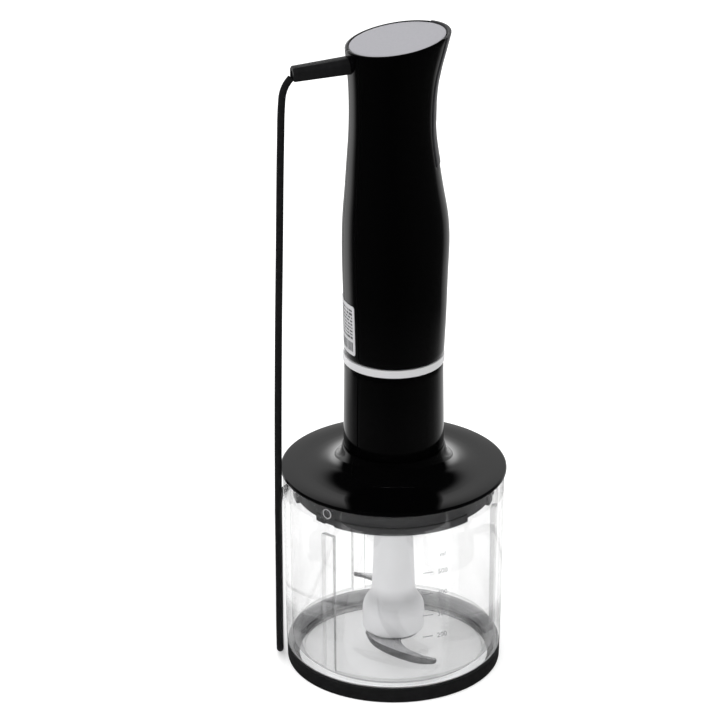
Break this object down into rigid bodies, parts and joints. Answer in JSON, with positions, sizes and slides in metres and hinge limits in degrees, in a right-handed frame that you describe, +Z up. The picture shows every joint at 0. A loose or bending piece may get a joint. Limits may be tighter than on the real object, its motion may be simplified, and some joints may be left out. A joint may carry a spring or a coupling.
{
  "type": "immersion blender",
  "caption": "Hand blender motor unit docked on a clear chopper bowl with a black lid, swept steel blades, non-slip base ring and mains cord.",
  "frame": {"origin": "on the table, at the axis of the bowl and of the motor, under the base ring", "axes": "+Z up along the drive axis, -Y towards the front buttons, +Y where the mains cord leaves"},
  "size_m": [0.2731, 0.135, 0.3403],
  "materials": {
    "gloss_black": "polished",
    "satin_black": "satin",
    "soft_panel": "soft touch",
    "base_rubber": "matte",
    "seal_rubber": "matte",
    "clear_plastic": "clear moulded",
    "hub_white": "translucent satin",
    "inner_white": "moulded",
    "cap_grey": "satin",
    "trim_silver": "satin plated",
    "blade_steel": "brushed and ground",
    "steel": "machined",
    "iron": "laminated",
    "brass": "machined",
    "copper": "turned",
    "circuit_board": "lacquered",
    "capacitor": "cast resin",
    "label": "printed foil",
    "cord_jacket": "satin"
  },
  "bodies": {
    "base_ring": {"base_ring": "base_rubber"},
    "bowl": {"bowl": "clear_plastic", "pivot_pin": "steel"},
    "blade_unit": {"blade_hub": "hub_white", "lower_blade": "blade_steel", "upper_blade": "blade_steel", "blade_retainer": "hub_white", "hub_bush": "brass"},
    "lid_seal": {"lid_seal": "seal_rubber"},
    "lid": {"lid_cover": "gloss_black", "lid_base_plate": "satin_black", "lid_bush": "brass", "shaft_seal": "seal_rubber"},
    "drive_spindle": {"spindle": "steel", "spindle_clip": "steel", "spindle_dog": "inner_white"},
    "motor_unit": {"housing_left": "gloss_black", "housing_right": "gloss_black", "coupling_sleeve": "gloss_black", "trim_ring": "trim_silver", "front_panel": "soft_panel", "top_cap": "cap_grey", "rating_label": "label", "screw_lower": "steel", "screw_upper": "steel", "power_switch": "satin_black", "turbo_switch": "satin_black", "switch_board": "circuit_board", "suppressor_capacitor": "capacitor", "lower_bracket": "satin_black", "upper_bracket": "satin_black", "lower_bearing": "steel", "upper_bearing": "steel", "motor_stator": "iron", "brush_holder_left": "brass", "brush_holder_right": "brass", "cord_guard": "satin_black", "cord_clamp": "inner_white", "cord": "cord_jacket", "cord_tail": "cord_jacket", "cord_coil": "cord_jacket", "cord_tie": "satin_black", "mains_plug": "satin_black", "plug_pin_left": "steel", "plug_pin_right": "steel"},
    "rotor": {"motor_shaft": "steel", "armature": "iron", "commutator": "copper", "cooling_fan": "inner_white", "drive_coupling": "inner_white"},
    "power_button": {"power_button": "satin_black"},
    "turbo_button": {"turbo_button": "satin_black"}
  },
  "joints": [
    {"name": "bowl_lift", "type": "slide", "parent": "base_ring", "child": "bowl", "axis": [0, 0, 1], "range_m": [0, 0.015]},
    {"name": "lid_lift", "type": "slide", "parent": "bowl", "child": "lid_seal", "axis": [0, 0, 1], "range_m": [0, 0.03]},
    {"name": "lid_twist", "type": "hinge", "parent": "lid_seal", "child": "lid", "pos_m": [0, 0, 0.1], "axis": [0, 0, -1], "range_deg": [0, 20]},
    {"name": "motor_lift", "type": "slide", "parent": "lid", "child": "motor_unit", "axis": [0, 0, 1], "range_m": [0, 0.03]},
    {"name": "motor_spin", "type": "hinge", "parent": "motor_unit", "child": "rotor", "pos_m": [0, 0, 0.2], "axis": [0, 0, 1], "continuous": true},
    {"name": "spindle_spin", "type": "hinge", "parent": "lid", "child": "drive_spindle", "pos_m": [0, 0, 0.1], "axis": [0, 0, 1], "continuous": true},
    {"name": "blade_spin", "type": "hinge", "parent": "bowl", "child": "blade_unit", "pos_m": [0, 0, 0.03], "axis": [0, 0, 1], "continuous": true},
    {"name": "power_press", "type": "slide", "parent": "motor_unit", "child": "power_button", "axis": [0, 1, 0], "range_m": [0, 0.0015], "stiffness_N_per_m": 600},
    {"name": "turbo_press", "type": "slide", "parent": "motor_unit", "child": "turbo_button", "axis": [0, 1, 0], "range_m": [0, 0.0015], "stiffness_N_per_m": 600}
  ],
  "couplings": [
    {"joint": "spindle_spin", "follows": "motor_spin", "ratio": 1},
    {"joint": "blade_spin", "follows": "motor_spin", "ratio": 1}
  ]
}
